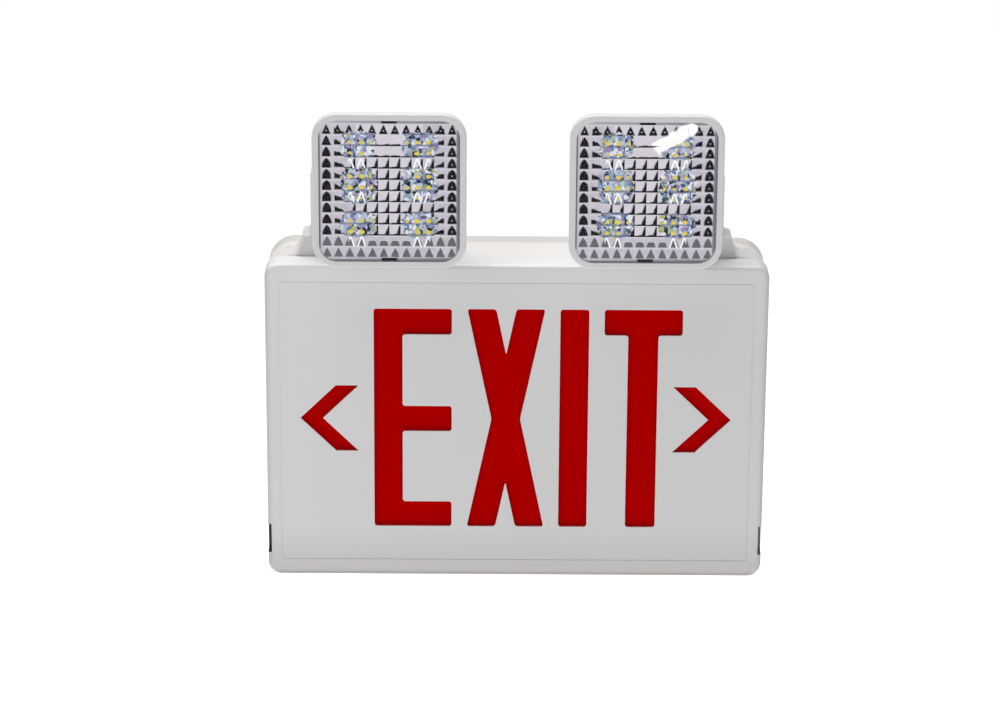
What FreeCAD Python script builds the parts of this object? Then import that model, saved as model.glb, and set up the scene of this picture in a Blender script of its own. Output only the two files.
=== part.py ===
# Emergency exit light: a wall-mounted exit sign with two swinging lamp heads.
# Frame: origin on the wall at the middle of the back plate, X to the right as the reader
# of the sign sees it, Y into the wall, Z up. Millimetres. The arms are shown at rest, with
# both heads above the sign.
import FreeCAD, Part
import os

V = FreeCAD.Vector
os.makedirs("parts", exist_ok=True)

# ---- housing ---------------------------------------------------------------------------
WIDTH, HEIGHT = 326.8, 217.8        # outside of the housing
PLATE_DEPTH = 12.5                  # back plate against the wall
BODY_DEPTH = 31.0                   # rear housing, in front of the back plate
COVER_DEPTH = 16.5                  # front cover, in front of the rear housing
WALL = 2.5                          # housing walls
FACE_WALL = 3.0                     # the face that carries the word
BACK_CORNER, COVER_CORNER = 18.0, 9.0
EDGE = 2.6                          # rounding of the front edges
GROOVE_INSET, GROOVE_WIDTH, GROOVE_DEEP = 9.2, 0.9, 0.4
NOTCH_LOW, NOTCH_LONG, NOTCH_DEEP = 16.0, 20.0, 9.0   # release notches, up from the bottom edge
TAB_W, TAB_T, TAB_REACH = 14.0, 1.8, 5.0              # snap tabs of the front cover
SEAT = 0.05                         # gap between seated pieces

Y_BODY = -PLATE_DEPTH               # back of the rear housing
Y_SEAM = Y_BODY - BODY_DEPTH        # where the front cover meets the rear housing
Y_FACE = Y_SEAM - COVER_DEPTH       # front of the sign
Y_FLOOR = Y_BODY - WALL             # inside floor of the rear housing
TOP, SIDE = HEIGHT / 2, WIDTH / 2

# ---- wall fixing -----------------------------------------------------------------------
BOX_SCREW_SPACING = 83.3            # two screws of a standard ceiling or wall box
BOX_SCREW_HOLE_R = 2.4
INLET_R = 11.0                      # supply wires
PLATE_WALL = 3.0
CASE_SCREW_X, CASE_SCREW_Z = SIDE - 21.4, TOP - 26.9
CASE_SCREW_R, CASE_SCREW_HEAD_R, CASE_SCREW_HEAD = 1.7, 3.6, 2.4

# ---- arms ------------------------------------------------------------------------------
PIVOT_INSET = 13.4                  # pivot from the side and from the top
ARM_THICK = 20.0
ARM_GAP = 0.5                       # arm to the edge of the slot, each side
ARM_WALL = 2.2
ARM_CHAMFER = 1.3
HUB_R = 12.4
SHOULDER_R, SHOULDER_FIT = 4.0, 0.05
PIVOT_THREAD_R, PIVOT_HEAD_R, PIVOT_HEAD = 2.0, 7.0, 2.2
PIVOT_BOSS_R = 7.0
REST_GAP = 0.8                      # arm above the top of the housing
NECK_OUT, NECK_TOP = (7.8, 15.5), (11.2, 28.0)   # outer side of the neck, from the pivot
PADDLE_OUT = (16.2, 28.6)           # where the paddle's straight outer side starts
NECK_IN = 24.5                      # inner end of the neck, from the pivot
PADDLE_X, PADDLE_Z = 86.0, 80.0     # far corner of the paddle, from the pivot
SLOT_REACH = 29.8                   # slot in the walls, each way from the pivot
PIVOT_X, PIVOT_Z = SIDE - PIVOT_INSET, TOP - PIVOT_INSET
Y_ARM_FRONT = Y_SEAM + ARM_GAP
Y_ARM_BACK = Y_ARM_FRONT + ARM_THICK
Y_ARM_SPLIT = Y_ARM_FRONT + ARM_THICK / 2
Y_BOSS = Y_ARM_BACK + ARM_GAP       # front of the pivot boss
ARM_SCREWS = ((30.0, 24.0), (74.0, 24.0), (30.0, 68.0))   # from the pivot
ARM_SCREW_R, ARM_SCREW_HEAD_R = 1.4, 2.6

# ---- lamp heads ------------------------------------------------------------------------
HEAD_W, HEAD_H, HEAD_CORNER = 98.4, 102.4, 16.0
HEAD_REACH, HEAD_RISE = 68.2, 69.2   # head centre from the pivot, across and up
HEAD_FRONT = 20.0                   # head in front of the sign's face
RIM_DEPTH = 6.0
TAPER_DEPTH = 22.0
BACK_W, BACK_H, BACK_CORNER_R = 60.0, 44.0, 10.0
RIM = 4.2                           # white rim round the lens
HEAD_WALL = 2.4
LENS_FIT = 0.15
LENS_THICK, LENS_SKIRT, LENS_SKIRT_WALL = 2.6, 2.4, 1.6
LATCH_W, LATCH_T = 11.0, 1.0        # lens latch at the middle of the top and bottom edges
LED_BOARD = (HEAD_W - 21.4, HEAD_H - 29.4, 1.6)
BOARD_DEEP = 11.4                   # front of the board behind the front of the head
LED_X, LED_Z, LED_R = 19.6, 26.5, 4.5
TILT_BACK = 4.5                     # tilt axis behind the back of the head
BARREL_R, BARREL_W, LUG_W, LUG_GAP = 3.6, 20.0, 5.0, 0.5
PIN_R, PIN_FIT = 1.6, 0.05
HEAD_X, HEAD_Z = -PIVOT_X + HEAD_REACH, PIVOT_Z + HEAD_RISE     # left head
Y_HEAD = Y_FACE - HEAD_FRONT
Y_HEAD_BACK = Y_HEAD + RIM_DEPTH + TAPER_DEPTH
Y_TILT = Y_HEAD_BACK + TILT_BACK

# ---- inside the sign -------------------------------------------------------------------
DIFFUSER_W, DIFFUSER_H, DIFFUSER_T = 300.0, 172.0, 2.0
STRIP_W, STRIP_H, BOARD_T, STRIP_Z = 284.0, 36.0, 1.6, 3.0
STRIP_LEDS, STRIP_LED_SIZE, STRIP_LED_H, STRIP_END = 12, 5.0, 1.6, 15.0
Y_STRIP = Y_FLOOR - 20.0
STANDOFF_R = 4.0
CELL_R, CELL_L, CELLS = 11.4, 112.0, 3
BATTERY_RIB, BATTERY_RIB_GAP, BATTERY_RIB_L, BATTERY_RIB_H = 2.0, 0.6, 60.0, 18.0
BATTERY_X = -SIDE + 39.4 + CELL_L / 2
BATTERY_Z = -TOP + WALL + 4.2 + CELLS * CELL_R
CHARGER_W, CHARGER_H = SIDE - 51.4, 62.0
CHARGER_X = SIDE - 35.4 - CHARGER_W / 2
CHARGER_Z = -TOP + WALL + 9.4 + CHARGER_H / 2
CHARGER_POST_IN = 6.0
Y_CHARGER = Y_FLOOR - 8.0
TRANSFORMER, TRANSFORMER_IN = (38.0, 19.0, 34.0), 26.0        # middle, in from the board's left edge
TERMINALS, TERMINALS_IN, TERMINALS_UP = (30.0, 11.0, 9.0), 22.0, 18.0   # in from its right edge

# ---- underside controls ----------------------------------------------------------------
BUTTON_X, BUTTON_Y, BUTTON_R, BUTTON_FIT = SIDE - 67.4, Y_SEAM + 9.5, 4.0, 0.08
BUTTON_PROUD, BUTTON_FLANGE_R, BUTTON_FLANGE, BUTTON_TRAVEL = 3.2, 5.6, 1.4, 1.5
INDICATOR_X, INDICATOR_R, INDICATOR_FLANGE_R = BUTTON_X - 18.0, 2.6, 3.8
INDICATOR_FIT = 0.05


def block(x0, x1, y0, y1, z0, z1):
    return Part.makeBox(x1 - x0, y1 - y0, z1 - z0, V(x0, y0, z0))


def rod_x(r, x0, x1, y, z):
    return Part.makeCylinder(r, x1 - x0, V(x0, y, z), V(1, 0, 0))


def rod_y(r, y0, y1, x, z):
    return Part.makeCylinder(r, y1 - y0, V(x, y0, z), V(0, 1, 0))


def rod_z(r, z0, z1, x, y):
    return Part.makeCylinder(r, z1 - z0, V(x, y, z0), V(0, 0, 1))


def along(shape, axis):
    """Straight edges that run along an axis."""
    found = []
    for e in shape.Edges:
        if isinstance(e.Curve, Part.Line) and abs(e.tangentAt(e.FirstParameter).dot(axis)) > 0.999:
            found.append(e)
    return found


def slab(w, h, r, y0, y1, x=0.0, z=0.0):
    """A rounded rectangle in the plane of the sign, from y0 to y1."""
    b = block(x - w / 2, x + w / 2, y0, y1, z - h / 2, z + h / 2)
    return b.makeFillet(r, along(b, V(0, 1, 0)))


def ring(w, h, r, wall, y0, y1, x=0.0, z=0.0):
    inner = slab(w - 2 * wall, h - 2 * wall, max(r - wall, 0.5), y0, y1, x, z)
    return slab(w, h, r, y0, y1, x, z).cut(inner)


def outline(w, h, r, y, x=0.0, z=0.0):
    """The closed edge of a rounded rectangle lying in the plane y."""
    s = slab(w, h, r, y, y + 1.0, x, z)
    face = min(s.Faces, key=lambda f: f.CenterOfMass.y)
    return face.OuterWire


def front_edges(shape, y):
    return [e for e in shape.Edges if abs(e.BoundBox.YMin - y) < 1e-4 and abs(e.BoundBox.YMax - y) < 1e-4]


def four(x, z):
    return [(sx * x, sz * z) for sx in (-1, 1) for sz in (-1, 1)]


# ---- housing pieces --------------------------------------------------------------------
def back_plate():
    """Tray against the wall, with the box screw holes and the wire inlet."""
    s = slab(WIDTH, HEIGHT, BACK_CORNER, Y_BODY + SEAT, 0.0)
    s = s.cut(slab(WIDTH - 2 * PLATE_WALL, HEIGHT - 2 * PLATE_WALL, BACK_CORNER - PLATE_WALL,
                   Y_BODY, -PLATE_WALL))
    for x, z in four(CASE_SCREW_X, CASE_SCREW_Z):
        s = s.fuse(rod_y(CASE_SCREW_R + 3.0, Y_BODY + SEAT, -PLATE_WALL, x, z))
    s = s.fuse(rod_y(INLET_R + 2.5, -PLATE_WALL - 3.0, -PLATE_WALL, 0, 0))
    for x, z in four(CASE_SCREW_X, CASE_SCREW_Z):
        s = s.cut(rod_y(CASE_SCREW_R, Y_BODY, -PLATE_WALL, x, z))
    for side in (-1, 1):
        s = s.cut(rod_y(BOX_SCREW_HOLE_R, -PLATE_WALL - 1, 1, side * BOX_SCREW_SPACING / 2, 0))
    s = s.cut(rod_y(INLET_R, -PLATE_WALL - 5, 1, 0, 0))
    return s.removeSplitter()


def corner_slots():
    """The room that each arm swings through at its corner."""
    left = block(-SIDE - 1, -PIVOT_X + SLOT_REACH, Y_SEAM - 1, Y_BOSS, PIVOT_Z - SLOT_REACH, TOP + 1)
    return left, left.mirror(V(0, 0, 0), V(1, 0, 0))


def rear_housing():
    """Tray that holds the electrics and carries both pivots."""
    s = slab(WIDTH, HEIGHT, BACK_CORNER, Y_SEAM, Y_BODY)
    s = s.cut(slab(WIDTH - 2 * WALL, HEIGHT - 2 * WALL, BACK_CORNER - WALL, Y_SEAM - 1, Y_FLOOR))
    for slot in corner_slots():
        s = s.cut(slot)
    for side in (-1, 1):
        s = s.fuse(rod_y(PIVOT_BOSS_R, Y_BOSS, Y_FLOOR, side * PIVOT_X, PIVOT_Z))
    for x in (-1, 1):
        s = s.fuse(rod_y(STANDOFF_R, Y_STRIP + BOARD_T + SEAT, Y_FLOOR, x * STRIP_W * 0.44, STRIP_Z))
    for x in (-1, 1):
        for z in (-1, 1):
            s = s.fuse(rod_y(STANDOFF_R, Y_CHARGER + BOARD_T + SEAT, Y_FLOOR,
                             CHARGER_X + x * (CHARGER_W / 2 - CHARGER_POST_IN),
                             CHARGER_Z + z * (CHARGER_H / 2 - CHARGER_POST_IN)))
    for z in (-1, 1):
        zc = BATTERY_Z + z * (CELLS * CELL_R + BATTERY_RIB_GAP + BATTERY_RIB / 2)
        s = s.fuse(block(BATTERY_X - BATTERY_RIB_L / 2, BATTERY_X + BATTERY_RIB_L / 2,
                         Y_FLOOR - BATTERY_RIB_H, Y_FLOOR, zc - BATTERY_RIB / 2, zc + BATTERY_RIB / 2))
    for side in (-1, 1):
        s = s.cut(rod_y(PIVOT_THREAD_R, Y_BOSS - 1, Y_FLOOR - 1.5, side * PIVOT_X, PIVOT_Z))
    for x, z in four(CASE_SCREW_X, CASE_SCREW_Z):
        s = s.cut(rod_y(CASE_SCREW_R + 0.3, Y_FLOOR - 1, Y_BODY + 1, x, z))
    s = s.cut(rod_y(INLET_R, Y_FLOOR - 1, Y_BODY + 1, 0, 0))
    s = s.cut(rod_z(BUTTON_R + BUTTON_FIT, -TOP - 1, -TOP + WALL + 1, BUTTON_X, BUTTON_Y))
    s = s.cut(rod_z(INDICATOR_R + INDICATOR_FIT, -TOP - 1, -TOP + WALL + 1, INDICATOR_X, BUTTON_Y))
    return s.removeSplitter()


def front_cover():
    """Front shell with a shallow line round the face and a release notch at each side."""
    s = slab(WIDTH, HEIGHT, COVER_CORNER, Y_FACE, Y_SEAM - SEAT)
    s = s.makeFillet(EDGE, front_edges(s, Y_FACE))
    s = s.cut(slab(WIDTH - 2 * WALL, HEIGHT - 2 * WALL, COVER_CORNER - WALL, Y_FACE + FACE_WALL, Y_SEAM + 1))
    gw, gh = WIDTH - 2 * GROOVE_INSET, HEIGHT - 2 * GROOVE_INSET
    s = s.cut(ring(gw, gh, 2.0, GROOVE_WIDTH, Y_FACE - 1, Y_FACE + GROOVE_DEEP))
    for side in (-1, 1):
        x = side * (SIDE - 0.9)
        s = s.cut(block(x - 1.5, x + 1.5, Y_FACE - 1, Y_FACE + NOTCH_DEEP,
                        -TOP + NOTCH_LOW, -TOP + NOTCH_LOW + NOTCH_LONG))
    for x in (-0.43 * SIDE, 0.43 * SIDE):
        for z in (-1, 1):
            inner = z * (TOP - WALL)
            low, high = sorted((inner, inner - z * TAB_T))
            tab = block(x - TAB_W / 2, x + TAB_W / 2, Y_SEAM - 8, Y_SEAM + TAB_REACH, low, high)
            low, high = sorted((inner, inner - z * 0.15))
            tab = tab.cut(block(x - TAB_W, x + TAB_W, Y_SEAM - SEAT, Y_SEAM + TAB_REACH + 1, low, high))
            s = s.fuse(tab)
    return s.removeSplitter()


def red_diffuser():
    y = Y_FACE + FACE_WALL + SEAT
    return slab(DIFFUSER_W, DIFFUSER_H, 3.0, y, y + DIFFUSER_T)


def sign_led_board():
    return slab(STRIP_W, STRIP_H, 2.0, Y_STRIP, Y_STRIP + BOARD_T, 0, STRIP_Z)


def sign_leds():
    pitch = (STRIP_W - 2 * STRIP_END) / (STRIP_LEDS - 1)
    h = STRIP_LED_SIZE / 2
    found = []
    for i in range(STRIP_LEDS):
        x = -STRIP_W / 2 + STRIP_END + i * pitch
        z = STRIP_Z + (STRIP_H / 4 if i % 2 else -STRIP_H / 4)
        found.append(block(x - h, x + h, Y_STRIP - STRIP_LED_H, Y_STRIP, z - h, z + h))
    return Part.makeCompound(found)


def charger_board():
    return slab(CHARGER_W, CHARGER_H, 2.0, Y_CHARGER, Y_CHARGER + BOARD_T, CHARGER_X, CHARGER_Z)


def transformer():
    w, d, h = TRANSFORMER
    x, z = CHARGER_X - CHARGER_W / 2 + TRANSFORMER_IN, CHARGER_Z
    core = block(x - w / 2, x + w / 2, Y_CHARGER - d, Y_CHARGER, z - h / 2, z + h / 2)
    core = core.makeFillet(1.0, along(core, V(0, 1, 0)))
    coil = block(x - w / 2 + 7, x + w / 2 - 7, Y_CHARGER - d + 2, Y_CHARGER - 2, z - h / 2 - 4, z + h / 2 + 4)
    return core.fuse(coil).removeSplitter()


def terminal_block():
    w, d, h = TERMINALS
    x, z = CHARGER_X + CHARGER_W / 2 - TERMINALS_IN, CHARGER_Z + TERMINALS_UP
    s = block(x - w / 2, x + w / 2, Y_CHARGER - d, Y_CHARGER, z - h / 2, z + h / 2)
    for i in (-1, 0, 1):
        s = s.cut(rod_y(2.2, Y_CHARGER - d - 1, Y_CHARGER - d + 4, x + i * w / 3.2, z))
    return s


def battery_pack():
    """Sleeved pack of cells side by side."""
    y = Y_FLOOR - 0.6 - CELL_R
    x0, x1 = BATTERY_X - CELL_L / 2, BATTERY_X + CELL_L / 2
    step = 2 * CELL_R - 0.4
    s = None
    for i in range(CELLS):
        c = rod_x(CELL_R, x0, x1, y, BATTERY_Z + (i - (CELLS - 1) / 2) * step)
        s = c if s is None else s.fuse(c)
    return s.removeSplitter()


def case_screws():
    found = []
    for x, z in four(CASE_SCREW_X, CASE_SCREW_Z):
        head = rod_y(CASE_SCREW_HEAD_R, Y_FLOOR - CASE_SCREW_HEAD, Y_FLOOR, x, z)
        found.append(head.fuse(rod_y(CASE_SCREW_R, Y_FLOOR, -PLATE_WALL - 2, x, z)))
    return Part.makeCompound(found)


def test_button():
    """Push button in the underside, with the flange that keeps it in."""
    zi = -TOP + WALL
    cap = rod_z(BUTTON_R, -TOP - BUTTON_PROUD, zi + 0.1, BUTTON_X, BUTTON_Y)
    cap = cap.makeFillet(0.6, [e for e in cap.Edges if e.BoundBox.ZMax < -TOP - BUTTON_PROUD + 0.01])
    flange = rod_z(BUTTON_FLANGE_R, zi + 0.05, zi + 0.05 + BUTTON_FLANGE, BUTTON_X, BUTTON_Y)
    stem = rod_z(1.8, zi + BUTTON_FLANGE, zi + 8.0, BUTTON_X, BUTTON_Y)
    return cap.fuse(flange).fuse(stem).removeSplitter()


def charge_indicator():
    zi = -TOP + WALL
    lens = rod_z(INDICATOR_R, -TOP - 1.4, zi + 0.1, INDICATOR_X, BUTTON_Y)
    lens = lens.makeFillet(1.2, [e for e in lens.Edges if e.BoundBox.ZMax < -TOP - 1.4 + 0.01])
    return lens.fuse(rod_z(INDICATOR_FLANGE_R, zi + 0.05, zi + 3.0, INDICATOR_X, BUTTON_Y)).removeSplitter()


# ---- arm pieces, left side -------------------------------------------------------------
def arm_plan(shrink, y0, y1):
    """The arm's outline: hub, neck and the broad paddle behind the head."""
    low = PIVOT_INSET + REST_GAP
    start, end = (-0.24 * HUB_R, 0.968 * HUB_R), (0.975 * HUB_R, 0.2 * HUB_R)   # on the hub's edge
    corners = [start, NECK_OUT, NECK_TOP, PADDLE_OUT, (PADDLE_OUT[0], PADDLE_Z), (PADDLE_X, PADDLE_Z),
               (PADDLE_X, low), (NECK_IN, low), end, (0.0, 0.0)]
    pts = [V(-PIVOT_X + u, y0, PIVOT_Z + w) for u, w in corners]
    s = Part.Face(Part.makePolygon(pts + [pts[0]])).extrude(V(0, y1 - y0, 0))
    s = s.fuse(rod_y(HUB_R, y0, y1, -PIVOT_X, PIVOT_Z)).removeSplitter()
    for (u, w), r in ((NECK_OUT, 6.0), (NECK_TOP, 2.0), (PADDLE_OUT, 2.0), ((PADDLE_OUT[0], PADDLE_Z), 13.0),
                      ((PADDLE_X, PADDLE_Z), 14.0), ((PADDLE_X, low), 12.0), ((NECK_IN, low), 5.0)):
        near = [e for e in along(s, V(0, 1, 0))
                if abs(e.BoundBox.Center.x + PIVOT_X - u) < 0.3 and abs(e.BoundBox.Center.z - PIVOT_Z - w) < 0.3]
        s = s.makeFillet(r, near)
    if not shrink:
        return s
    face = min(s.Faces, key=lambda f: f.CenterOfMass.y)
    inner = face.makeOffset2D(-shrink)
    return inner.extrude(V(0, y1 - y0, 0))


def hub_core(y0, y1):
    return rod_y(HUB_R, y0, y1, -PIVOT_X, PIVOT_Z)


def hub_bore(s):
    return s.cut(rod_y(SHOULDER_R + SHOULDER_FIT, Y_ARM_FRONT - 1, Y_ARM_BACK + 1, -PIVOT_X, PIVOT_Z))


def screw_posts(s, y0, y1):
    for u, w in ARM_SCREWS:
        s = s.fuse(rod_y(ARM_SCREW_HEAD_R + 1.4, y0, y1, -PIVOT_X + u, PIVOT_Z + w))
    return s


def arm_front():
    """Front half of the arm with the two lugs that carry the head."""
    s = arm_plan(0, Y_ARM_FRONT, Y_ARM_SPLIT - SEAT)
    s = s.makeChamfer(ARM_CHAMFER, front_edges(s, Y_ARM_FRONT))
    s = s.cut(arm_plan(ARM_WALL, Y_ARM_FRONT + ARM_WALL, Y_ARM_SPLIT + 1))
    core = hub_core(Y_ARM_FRONT, Y_ARM_SPLIT - SEAT)
    s = s.fuse(core.makeChamfer(ARM_CHAMFER, front_edges(core, Y_ARM_FRONT)))
    s = screw_posts(s, Y_ARM_FRONT + ARM_WALL, Y_ARM_SPLIT - SEAT)
    for side in (-1, 1):
        x0, x1 = sorted((HEAD_X + side * (BARREL_W / 2 + LUG_GAP), HEAD_X + side * (BARREL_W / 2 + LUG_GAP + LUG_W)))
        lug = block(x0, x1, Y_TILT, Y_ARM_FRONT + ARM_WALL, HEAD_Z - BARREL_R, HEAD_Z + BARREL_R)
        lug = lug.fuse(rod_x(BARREL_R, x0, x1, Y_TILT, HEAD_Z))
        s = s.fuse(lug.cut(rod_x(PIN_R, x0 - 1, x1 + 1, Y_TILT, HEAD_Z)))
    for u, w in ARM_SCREWS:
        s = s.cut(rod_y(ARM_SCREW_R, Y_ARM_FRONT + ARM_WALL, Y_ARM_SPLIT + 1, -PIVOT_X + u, PIVOT_Z + w))
    s = s.cut(rod_y(3.0, Y_ARM_FRONT - 1, Y_ARM_FRONT + ARM_WALL + 1, HEAD_X, HEAD_Z - 12))
    return hub_bore(s).removeSplitter()


def arm_rear():
    """Rear half of the arm, held on with three screws."""
    s = arm_plan(0, Y_ARM_SPLIT, Y_ARM_BACK)
    back = [e for e in s.Edges if abs(e.BoundBox.YMin - Y_ARM_BACK) < 1e-4]
    s = s.makeChamfer(ARM_CHAMFER, back)
    s = s.cut(arm_plan(ARM_WALL, Y_ARM_SPLIT - 1, Y_ARM_BACK - ARM_WALL))
    core = hub_core(Y_ARM_SPLIT, Y_ARM_BACK)
    s = s.fuse(core)
    s = screw_posts(s, Y_ARM_SPLIT, Y_ARM_BACK - ARM_WALL)
    for u, w in ARM_SCREWS:
        x, z = -PIVOT_X + u, PIVOT_Z + w
        s = s.cut(rod_y(ARM_SCREW_R + 0.2, Y_ARM_SPLIT - 1, Y_ARM_BACK + 1, x, z))
        s = s.cut(rod_y(ARM_SCREW_HEAD_R + 0.3, Y_ARM_BACK - 4, Y_ARM_BACK + 1, x, z))
    return hub_bore(s).removeSplitter()


def arm_screws():
    found = []
    for u, w in ARM_SCREWS:
        x, z = -PIVOT_X + u, PIVOT_Z + w
        head = rod_y(ARM_SCREW_HEAD_R, Y_ARM_BACK - 4, Y_ARM_BACK - 2, x, z)
        found.append(head.fuse(rod_y(ARM_SCREW_R, Y_ARM_FRONT + ARM_WALL + 2, Y_ARM_BACK - 4, x, z)))
    return Part.makeCompound(found)


def pivot_screw():
    """Shoulder screw that the arm turns on."""
    y = Y_ARM_FRONT - SEAT
    s = rod_y(PIVOT_HEAD_R, y - PIVOT_HEAD, y, -PIVOT_X, PIVOT_Z)
    s = s.fuse(rod_y(SHOULDER_R, y, Y_BOSS, -PIVOT_X, PIVOT_Z))
    s = s.fuse(rod_y(PIVOT_THREAD_R, Y_BOSS, Y_FLOOR - 2.0, -PIVOT_X, PIVOT_Z))
    return s.removeSplitter()


def friction_washer():
    s = rod_y(PIVOT_BOSS_R, Y_ARM_BACK + SEAT, Y_BOSS, -PIVOT_X, PIVOT_Z)
    return s.cut(rod_y(SHOULDER_R + 0.1, Y_ARM_BACK - 1, Y_BOSS + 1, -PIVOT_X, PIVOT_Z))


def tilt_pin():
    reach = BARREL_W / 2 + LUG_GAP + LUG_W
    return rod_x(PIN_R, HEAD_X - reach, HEAD_X + reach, Y_TILT, HEAD_Z)


# ---- head pieces, left side ------------------------------------------------------------
def head_body(grow, y_extra):
    """Square rim that narrows to a small flat back."""
    w, h, r = HEAD_W - 2 * grow, HEAD_H - 2 * grow, HEAD_CORNER - grow
    y1 = Y_HEAD + RIM_DEPTH
    rim = slab(w, h, r, Y_HEAD + y_extra, y1, HEAD_X, HEAD_Z)
    back = Y_HEAD_BACK - (HEAD_WALL if grow else 0)
    taper = Part.makeLoft([outline(w, h, r, y1, HEAD_X, HEAD_Z),
                           outline(BACK_W - 2 * grow, BACK_H - 2 * grow, BACK_CORNER_R - grow, back, HEAD_X, HEAD_Z)],
                          True, True)
    return rim.fuse(taper)


def head_shell():
    """Lamp body with the barrel that it tilts on."""
    s = head_body(0, 0).removeSplitter()
    s = s.makeFillet(1.2, front_edges(s, Y_HEAD))
    s = s.cut(head_body(HEAD_WALL, RIM_DEPTH - 1.0))
    s = s.cut(slab(HEAD_W - 2 * RIM, HEAD_H - 2 * RIM, HEAD_CORNER - RIM, Y_HEAD - 1, Y_HEAD + RIM_DEPTH,
                   HEAD_X, HEAD_Z))
    web = block(HEAD_X - BARREL_W / 2, HEAD_X + BARREL_W / 2, Y_HEAD_BACK - 1, Y_TILT,
                HEAD_Z - BARREL_R, HEAD_Z + BARREL_R)
    s = s.fuse(web).fuse(rod_x(BARREL_R, HEAD_X - BARREL_W / 2, HEAD_X + BARREL_W / 2, Y_TILT, HEAD_Z))
    for x, z in four(LED_BOARD[0] / 2 - 6, LED_BOARD[1] / 2 - 6):
        y0 = Y_HEAD + BOARD_DEEP + LED_BOARD[2] + SEAT
        s = s.fuse(block(HEAD_X + x - 3, HEAD_X + x + 3, y0, y0 + 8, HEAD_Z + z - 3, HEAD_Z + z + 3)
                   .common(head_body(1.0, 1.0)))
    s = s.cut(rod_x(PIN_R + PIN_FIT, HEAD_X - BARREL_W, HEAD_X + BARREL_W, Y_TILT, HEAD_Z))
    s = s.cut(rod_y(3.0, Y_HEAD_BACK - 4, Y_HEAD_BACK + 1, HEAD_X, HEAD_Z - 12))
    return s.removeSplitter()


def lens():
    """Clear cover with a skirt that pushes into the rim."""
    w, h = HEAD_W - 2 * (RIM + LENS_FIT), HEAD_H - 2 * (RIM + LENS_FIT)
    r = HEAD_CORNER - RIM - LENS_FIT
    y = Y_HEAD + 0.4
    s = slab(w, h, r, y, y + LENS_THICK, HEAD_X, HEAD_Z)
    s = s.makeFillet(0.8, front_edges(s, y))
    s = s.fuse(ring(w, h, r, LENS_SKIRT_WALL, y + 1, y + LENS_THICK + LENS_SKIRT, HEAD_X, HEAD_Z))
    for side in (-1, 1):
        z = HEAD_Z + side * (h / 2 - LATCH_T)
        s = s.cut(block(HEAD_X - LATCH_W / 2, HEAD_X + LATCH_W / 2, y - 1, y + LENS_THICK + LENS_SKIRT + 1,
                        z - 0.5 * LATCH_T, z + 0.5 * LATCH_T))
    return s.removeSplitter()


def head_led_board():
    w, h, t = LED_BOARD
    y = Y_HEAD + BOARD_DEEP
    return slab(w, h, 9.0, y, y + t, HEAD_X, HEAD_Z)


def head_leds():
    found = []
    y = Y_HEAD + BOARD_DEEP
    for sx in (-1, 1):
        for sz in (-1, 0, 1):
            found.append(rod_y(LED_R, y - 1.8, y, HEAD_X + sx * LED_X, HEAD_Z + sz * LED_Z))
    return Part.makeCompound(found)


def save(name, shape):
    shape.exportStep("parts/" + name + ".step")


def both_sides(name, shape):
    save("left_" + name, shape)
    save("right_" + name, shape.mirror(V(0, 0, 0), V(1, 0, 0)))


for piece in (back_plate, rear_housing, front_cover, red_diffuser, sign_led_board, sign_leds,
              charger_board, transformer, terminal_block, battery_pack, case_screws, test_button,
              charge_indicator):
    save(piece.__name__, piece())

for piece in (arm_front, arm_rear, arm_screws, pivot_screw, friction_washer, tilt_pin, head_shell,
              lens, head_led_board, head_leds):
    both_sides(piece.__name__, piece())
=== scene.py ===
# %% [markdown]
# # Emergency exit light
# A white moulded sign with a red-lit word, and two square lamp heads on arms that swing
# from its upper corners. The imported CAD model is the fixed frame. This first cell loads it,
# and `part_box` reads the box of each of its pieces, which gives the size of pieces made later.
# Every piece made later has to stay inside that box.

# %% Load the frame
import bpy, bmesh, math
from mathutils import Matrix, Vector


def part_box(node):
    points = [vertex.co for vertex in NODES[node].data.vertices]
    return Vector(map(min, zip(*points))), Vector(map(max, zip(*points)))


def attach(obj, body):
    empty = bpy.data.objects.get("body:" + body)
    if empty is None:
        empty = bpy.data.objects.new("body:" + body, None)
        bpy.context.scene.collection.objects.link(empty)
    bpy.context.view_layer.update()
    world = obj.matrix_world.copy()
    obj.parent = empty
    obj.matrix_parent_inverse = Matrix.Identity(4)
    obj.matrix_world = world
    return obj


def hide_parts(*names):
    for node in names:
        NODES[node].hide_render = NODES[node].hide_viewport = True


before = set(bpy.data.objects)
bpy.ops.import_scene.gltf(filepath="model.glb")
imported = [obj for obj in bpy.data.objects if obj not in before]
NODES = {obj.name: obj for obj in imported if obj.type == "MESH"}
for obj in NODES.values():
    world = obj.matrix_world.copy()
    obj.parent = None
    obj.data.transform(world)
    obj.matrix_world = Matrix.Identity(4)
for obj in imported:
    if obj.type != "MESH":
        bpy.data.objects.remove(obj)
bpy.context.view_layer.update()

SIDES = ("left", "right")

# %% [markdown]
# Nearly every piece starts as a cube at its real size and is shaped in edit mode. These
# helpers keep that short: read a CAD piece's box, add a cube between two corners, and pick
# edges or faces by a test on their place. X runs to the right, Y to the back and Z up, in
# metres.

# %% Helpers to add and pick
def span(node):
    low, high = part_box(node)
    return Vector(low), Vector(high)


def deselect():
    if bpy.context.object and bpy.context.object.mode != "OBJECT":
        bpy.ops.object.mode_set(mode="OBJECT")
    bpy.ops.object.select_all(action="DESELECT")


def activate(obj):
    deselect()
    obj.select_set(True)
    bpy.context.view_layer.objects.active = obj


def settle(obj):
    """Put the object's place, turn and scale into its mesh."""
    activate(obj)
    bpy.ops.object.transform_apply(location=True, rotation=True, scale=True)


def cube(name, low, high):
    deselect()
    middle = [(a + b) / 2 for a, b in zip(low, high)]
    size = [b - a for a, b in zip(low, high)]
    bpy.ops.mesh.primitive_cube_add(size=1, location=middle, scale=size)
    obj = bpy.context.object
    obj.name = name
    settle(obj)
    return obj


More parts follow.
